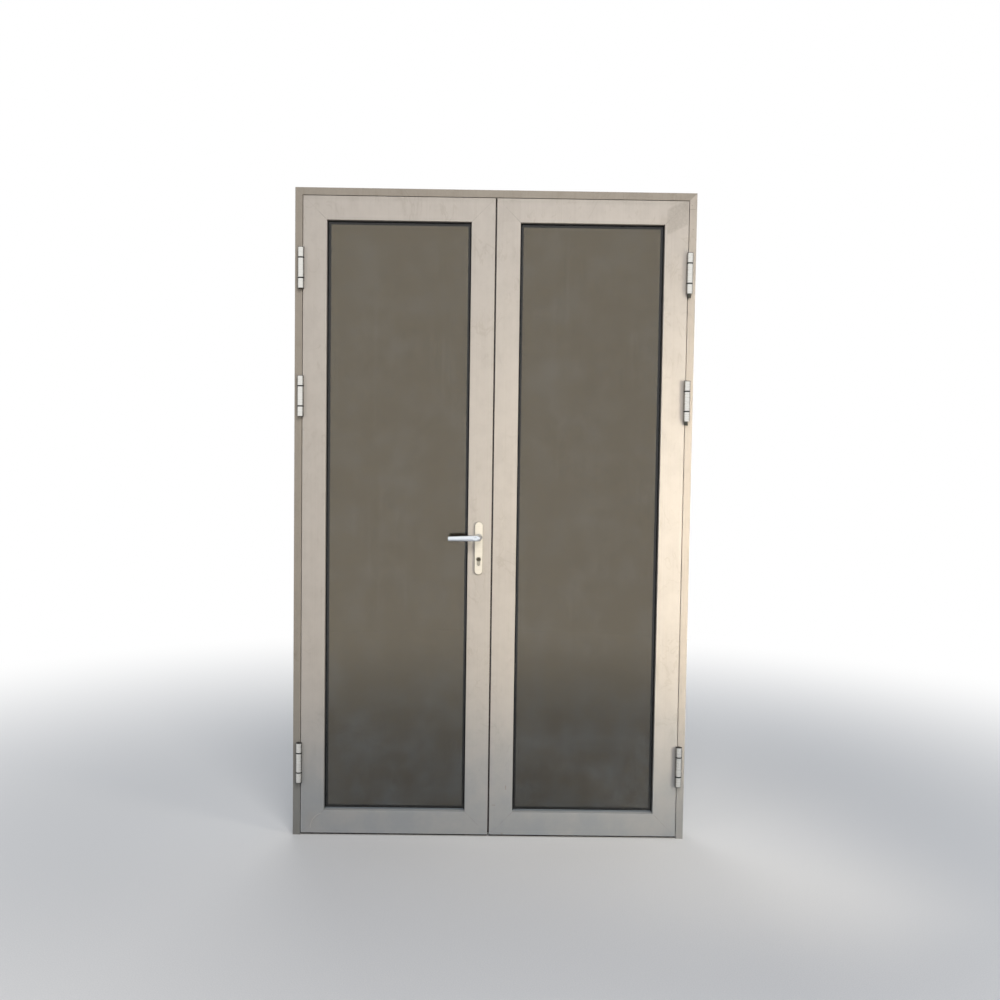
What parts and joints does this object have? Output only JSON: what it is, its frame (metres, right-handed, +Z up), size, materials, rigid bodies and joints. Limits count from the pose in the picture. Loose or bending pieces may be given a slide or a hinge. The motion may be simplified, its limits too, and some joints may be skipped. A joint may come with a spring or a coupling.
{
  "type": "glass entrance door",
  "caption": "Glazed double-leaf aluminium entrance door in its own frame, with barrel hinges, lever handles, mortice lock and flush bolts.",
  "frame": {"origin": "bottom centre of the frame, in the middle of the leaf depth", "axes": "+X to the right as seen from outside, +Y into the building, +Z up"},
  "size_m": [1.52, 0.179, 2.488],
  "materials": {
    "powder_coat": "satin powder coating, pale warm grey",
    "raw_aluminium": "mill finish cast or extruded aluminium",
    "hinge_metal": "satin silver",
    "pin_steel": "dull dark steel",
    "black_nylon": "matt black nylon",
    "black_rubber": "matt black rubber seal",
    "pile": "black pile seal",
    "tinted_glass": "grey-brown tinted, reflective",
    "clear_glass": "clear",
    "spacer": "black warm-edge spacer and sealant",
    "handle_plate_metal": "pale satin",
    "lever_metal": "satin aluminium",
    "lock_steel": "zinc plated steel",
    "cylinder_metal": "nickel plated brass, dulled",
    "plug_metal": "darkened brass",
    "stainless": "satin stainless steel"
  },
  "bodies": {
    "frame": {"left_jamb": "powder_coat", "right_jamb": "powder_coat", "head": "powder_coat", "frame_corner_cleats": "raw_aluminium", "frame_stop_gasket": "black_rubber", "top_bolt_keeper": "stainless", "left_hinge_frame_halves": "hinge_metal", "right_hinge_frame_halves": "hinge_metal", "hinge_washers": "black_nylon", "hinge_pins": "pin_steel", "hinge_caps": "black_nylon", "frame_screws": "stainless"},
    "active_leaf": {"active_hinge_stile": "powder_coat", "active_top_rail": "powder_coat", "active_meeting_stile": "powder_coat", "active_bottom_rail": "powder_coat", "active_corner_cleats": "raw_aluminium", "active_hinge_halves": "hinge_metal", "active_outer_pane": "tinted_glass", "active_inner_pane": "clear_glass", "active_edge_spacer": "spacer", "active_glazing_beads": "powder_coat", "active_outer_gasket": "black_rubber", "active_inner_gasket": "black_rubber", "active_setting_blocks": "black_nylon", "active_meeting_pile": "pile", "active_bottom_pile": "pile", "lock_case": "lock_steel", "lock_faceplate": "stainless", "outer_handle_plate": "handle_plate_metal", "inner_handle_plate": "handle_plate_metal", "cylinder_housing": "cylinder_metal", "active_leaf_screws": "stainless"},
    "passive_leaf": {"passive_hinge_stile": "powder_coat", "passive_top_rail": "powder_coat", "passive_meeting_stile": "powder_coat", "passive_bottom_rail": "powder_coat", "passive_corner_cleats": "raw_aluminium", "passive_hinge_halves": "hinge_metal", "passive_outer_pane": "tinted_glass", "passive_inner_pane": "clear_glass", "passive_edge_spacer": "spacer", "passive_glazing_beads": "powder_coat", "passive_outer_gasket": "black_rubber", "passive_inner_gasket": "black_rubber", "passive_setting_blocks": "black_nylon", "passive_meeting_pile": "pile", "passive_bottom_pile": "pile", "strike_plate": "stainless", "flush_bolt_plates": "stainless", "passive_leaf_screws": "stainless"},
    "lever_set": {"outer_lever": "lever_metal", "inner_lever": "lever_metal", "spindle": "lock_steel", "lock_follower": "lock_steel"},
    "latch": {"latch_bolt": "lock_steel"},
    "deadbolt": {"dead_bolt": "stainless"},
    "cylinder": {"cylinder_plugs": "plug_metal"},
    "top_bolt": {"top_flush_bolt": "lock_steel"},
    "bottom_bolt": {"bottom_flush_bolt": "lock_steel"}
  },
  "joints": [
    {"name": "active_leaf_swing", "type": "hinge", "parent": "frame", "child": "active_leaf", "pos_m": [-0.735, -0.0403, 1.2], "axis": [0, 0, -1], "range_deg": [0, 100]},
    {"name": "passive_leaf_swing", "type": "hinge", "parent": "frame", "child": "passive_leaf", "pos_m": [0.735, -0.0403, 1.2], "axis": [0, 0, 1], "range_deg": [0, 100]},
    {"name": "lever_turn", "type": "hinge", "parent": "active_leaf", "child": "lever_set", "pos_m": [-0.0505, 0, 1.171], "axis": [0, -1, 0], "range_deg": [0, 45], "stiffness_Nm_per_rad": 1.6, "springref_deg": -14.32},
    {"name": "latch_slide", "type": "slide", "parent": "active_leaf", "child": "latch", "axis": [1, 0, 0], "range_m": [0, 0.012]},
    {"name": "deadbolt_throw", "type": "slide", "parent": "active_leaf", "child": "deadbolt", "axis": [1, 0, 0], "range_m": [0, 0.02]},
    {"name": "cylinder_turn", "type": "hinge", "parent": "active_leaf", "child": "cylinder", "pos_m": [-0.0505, 0, 1.086], "axis": [0, 1, 0], "range_deg": [0, 360]},
    {"name": "top_bolt_slide", "type": "slide", "parent": "passive_leaf", "child": "top_bolt", "axis": [0, 0, 1], "range_m": [0, 0.02]},
    {"name": "bottom_bolt_slide", "type": "slide", "parent": "passive_leaf", "child": "bottom_bolt", "axis": [0, 0, -1], "range_m": [0, 0.02]}
  ],
  "couplings": [
    {"joint": "cylinder_turn", "follows": "deadbolt_throw", "rad_per_m": 314.16}
  ]
}
